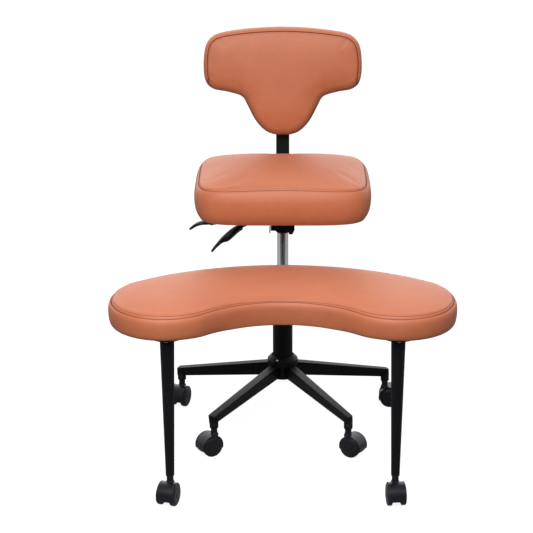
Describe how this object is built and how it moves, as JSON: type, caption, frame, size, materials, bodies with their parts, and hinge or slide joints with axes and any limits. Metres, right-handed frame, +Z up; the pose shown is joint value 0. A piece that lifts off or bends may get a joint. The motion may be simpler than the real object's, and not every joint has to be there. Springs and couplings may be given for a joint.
{
  "type": "cross-legged office chair",
  "caption": "Office chair with a small padded seat and T-shaped backrest on a gas lift, and a wide kidney-shaped padded platform that swings round the same column on its own legs and casters.",
  "frame": {"origin": "the column's axis on the floor", "axes": "+Z up, -Y the way the sitter faces, +X to the right of a viewer standing in front of the chair"},
  "size_m": [0.7896, 0.8411, 0.9707],
  "materials": {
    "powder_black": "satin powder coat",
    "nylon_black": "moulded nylon, fine texture",
    "bright_steel": "zinc plated",
    "chrome": "polished",
    "leather_tan": "smooth coated leather, fine grain",
    "plywood": "raw plywood",
    "bush_white": "turned acetal"
  },
  "bodies": {
    "base": {"star_base": "powder_black", "base_sockets": "nylon_black", "column_tube": "powder_black", "guide_bush": "nylon_black", "thrust_bearing": "bright_steel", "stop_collar": "powder_black"},
    "platform": {"platform_bracket": "powder_black", "ring_bush": "bush_white", "platform_board": "plywood", "platform_cushion": "leather_tan", "left_leg": "powder_black", "right_leg": "powder_black", "leg_sockets": "nylon_black", "platform_screws": "powder_black"},
    "piston": {"piston_rod": "bright_steel"},
    "seat": {"gas_cylinder": "chrome", "mechanism_plate": "powder_black", "seat_board": "plywood", "seat_cushion": "leather_tan", "seat_screws": "bright_steel", "tilt_pin": "bright_steel"},
    "valve_button": {"valve_button": "bright_steel"},
    "height_lever": {"height_lever": "powder_black", "height_lever_grip": "nylon_black"},
    "tilt_lever": {"tilt_lever": "powder_black", "tilt_lever_grip": "nylon_black"},
    "back": {"back_bracket": "powder_black", "back_bar": "powder_black"},
    "backrest": {"back_carriage": "powder_black", "back_board": "plywood", "back_cushion": "leather_tan"},
    "back_knob": {"back_knob": "nylon_black"},
    "caster_rear": {"caster_rear_hood": "nylon_black", "caster_rear_pins": "bright_steel"},
    "caster_left": {"caster_left_hood": "nylon_black", "caster_left_pins": "bright_steel"},
    "caster_front_left": {"caster_front_left_hood": "nylon_black", "caster_front_left_pins": "bright_steel"},
    "caster_front_right": {"caster_front_right_hood": "nylon_black", "caster_front_right_pins": "bright_steel"},
    "caster_right": {"caster_right_hood": "nylon_black", "caster_right_pins": "bright_steel"},
    "caster_leg_left": {"caster_leg_left_hood": "nylon_black", "caster_leg_left_pins": "bright_steel"},
    "caster_leg_right": {"caster_leg_right_hood": "nylon_black", "caster_leg_right_pins": "bright_steel"},
    "caster_rear_wheel_a": {"caster_rear_wheel_a": "nylon_black"},
    "caster_rear_wheel_b": {"caster_rear_wheel_b": "nylon_black"},
    "caster_left_wheel_a": {"caster_left_wheel_a": "nylon_black"},
    "caster_left_wheel_b": {"caster_left_wheel_b": "nylon_black"},
    "caster_front_left_wheel_a": {"caster_front_left_wheel_a": "nylon_black"},
    "caster_front_left_wheel_b": {"caster_front_left_wheel_b": "nylon_black"},
    "caster_front_right_wheel_a": {"caster_front_right_wheel_a": "nylon_black"},
    "caster_front_right_wheel_b": {"caster_front_right_wheel_b": "nylon_black"},
    "caster_right_wheel_a": {"caster_right_wheel_a": "nylon_black"},
    "caster_right_wheel_b": {"caster_right_wheel_b": "nylon_black"},
    "caster_leg_left_wheel_a": {"caster_leg_left_wheel_a": "nylon_black"},
    "caster_leg_left_wheel_b": {"caster_leg_left_wheel_b": "nylon_black"},
    "caster_leg_right_wheel_a": {"caster_leg_right_wheel_a": "nylon_black"},
    "caster_leg_right_wheel_b": {"caster_leg_right_wheel_b": "nylon_black"}
  },
  "joints": [
    {"name": "platform_swivel", "type": "hinge", "parent": "base", "child": "platform", "pos_m": [0, 0, 0.378], "axis": [0, 0, 1], "continuous": true},
    {"name": "seat_swivel", "type": "hinge", "parent": "base", "child": "piston", "pos_m": [0, 0, 0.118], "axis": [0, 0, 1], "continuous": true},
    {"name": "seat_height", "type": "slide", "parent": "piston", "child": "seat", "axis": [0, 0, 1], "range_m": [0, 0.1]},
    {"name": "height_lever_lift", "type": "hinge", "parent": "seat", "child": "height_lever", "pos_m": [-0.0275, 0, 0.552], "axis": [0, 1, 0], "range_deg": [0, 6]},
    {"name": "valve_press", "type": "slide", "parent": "seat", "child": "valve_button", "axis": [0, 0, -1], "range_m": [0, 0.0031]},
    {"name": "tilt_lever_lift", "type": "hinge", "parent": "seat", "child": "tilt_lever", "pos_m": [-0.0275, 0.04, 0.536], "axis": [0, 1, 0], "range_deg": [0, 12]},
    {"name": "back_tilt", "type": "hinge", "parent": "seat", "child": "back", "pos_m": [0, 0.08, 0.54], "axis": [-1, 0, 0], "range_deg": [0, 15]},
    {"name": "back_height", "type": "slide", "parent": "back", "child": "backrest", "axis": [0, 0.0872, 0.9962], "range_m": [-0.03, 0.05]},
    {"name": "back_knob_turn", "type": "hinge", "parent": "backrest", "child": "back_knob", "pos_m": [0, 0.24966, 0.81941], "axis": [0, 0.9962, -0.0872], "continuous": true},
    {"name": "caster_rear_swivel", "type": "hinge", "parent": "base", "child": "caster_rear", "pos_m": [0.00486, 0.27846, 0.06], "axis": [0, 0, 1], "continuous": true},
    {"name": "caster_left_swivel", "type": "hinge", "parent": "base", "child": "caster_left", "pos_m": [-0.26333, 0.09067, 0.06], "axis": [0, 0, 1], "continuous": true},
    {"name": "caster_front_left_swivel", "type": "hinge", "parent": "base", "child": "caster_front_left", "pos_m": [-0.16761, -0.22242, 0.06], "axis": [0, 0, 1], "continuous": true},
    {"name": "caster_front_right_swivel", "type": "hinge", "parent": "base", "child": "caster_front_right", "pos_m": [0.15974, -0.22813, 0.06], "axis": [0, 0, 1], "continuous": true},
    {"name": "caster_right_swivel", "type": "hinge", "parent": "base", "child": "caster_right", "pos_m": [0.26633, 0.08143, 0.06], "axis": [0, 0, 1], "continuous": true},
    {"name": "caster_leg_left_swivel", "type": "hinge", "parent": "platform", "child": "caster_leg_left", "pos_m": [-0.258, -0.493, 0.06], "axis": [0, 0, 1], "continuous": true},
    {"name": "caster_leg_right_swivel", "type": "hinge", "parent": "platform", "child": "caster_leg_right", "pos_m": [0.258, -0.493, 0.06], "axis": [0, 0, 1], "continuous": true},
    {"name": "caster_rear_wheel_a_roll", "type": "hinge", "parent": "caster_rear", "child": "caster_rear_wheel_a", "pos_m": [0.00486, 0.26446, 0.026], "axis": [1, 0, 0], "continuous": true},
    {"name": "caster_rear_wheel_b_roll", "type": "hinge", "parent": "caster_rear", "child": "caster_rear_wheel_b", "pos_m": [0.00486, 0.26446, 0.026], "axis": [1, 0, 0], "continuous": true},
    {"name": "caster_left_wheel_a_roll", "type": "hinge", "parent": "caster_left", "child": "caster_left_wheel_a", "pos_m": [-0.26857, 0.07769, 0.026], "axis": [0.9272, -0.3746, 0], "continuous": true},
    {"name": "caster_left_wheel_b_roll", "type": "hinge", "parent": "caster_left", "child": "caster_left_wheel_b", "pos_m": [-0.26857, 0.07769, 0.026], "axis": [0.9272, -0.3746, 0], "continuous": true},
    {"name": "caster_front_left_wheel_a_roll", "type": "hinge", "parent": "caster_front_left", "child": "caster_front_left_wheel_a", "pos_m": [-0.17935, -0.23004, 0.026], "axis": [0.5446, -0.8387, 0], "continuous": true},
    {"name": "caster_front_left_wheel_b_roll", "type": "hinge", "parent": "caster_front_left", "child": "caster_front_left_wheel_b", "pos_m": [-0.17935, -0.23004, 0.026], "axis": [0.5446, -0.8387, 0], "continuous": true},
    {"name": "caster_front_right_wheel_a_roll", "type": "hinge", "parent": "caster_front_right", "child": "caster_front_right_wheel_a", "pos_m": [0.17174, -0.23534, 0.026], "axis": [0.515, 0.8572, 0], "continuous": true},
    {"name": "caster_front_right_wheel_b_roll", "type": "hinge", "parent": "caster_front_right", "child": "caster_front_right_wheel_b", "pos_m": [0.17174, -0.23534, 0.026], "axis": [0.515, 0.8572, 0], "continuous": true},
    {"name": "caster_right_wheel_a_roll", "type": "hinge", "parent": "caster_right", "child": "caster_right_wheel_a", "pos_m": [0.2803, 0.08045, 0.026], "axis": [0.0698, 0.9976, 0], "continuous": true},
    {"name": "caster_right_wheel_b_roll", "type": "hinge", "parent": "caster_right", "child": "caster_right_wheel_b", "pos_m": [0.2803, 0.08045, 0.026], "axis": [0.0698, 0.9976, 0], "continuous": true},
    {"name": "caster_leg_left_wheel_a_roll", "type": "hinge", "parent": "caster_leg_left", "child": "caster_leg_left_wheel_a", "pos_m": [-0.26233, -0.50631, 0.026], "axis": [0.9511, -0.309, 0], "continuous": true},
    {"name": "caster_leg_left_wheel_b_roll", "type": "hinge", "parent": "caster_leg_left", "child": "caster_leg_left_wheel_b", "pos_m": [-0.26233, -0.50631, 0.026], "axis": [0.9511, -0.309, 0], "continuous": true},
    {"name": "caster_leg_right_wheel_a_roll", "type": "hinge", "parent": "caster_leg_right", "child": "caster_leg_right_wheel_a", "pos_m": [0.25946, -0.50692, 0.026], "axis": [0.9945, 0.1045, 0], "continuous": true},
    {"name": "caster_leg_right_wheel_b_roll", "type": "hinge", "parent": "caster_leg_right", "child": "caster_leg_right_wheel_b", "pos_m": [0.25946, -0.50692, 0.026], "axis": [0.9945, 0.1045, 0], "continuous": true}
  ],
  "couplings": [
    {"joint": "valve_press", "follows": "height_lever_lift", "m_per_rad": 0.0295}
  ]
}
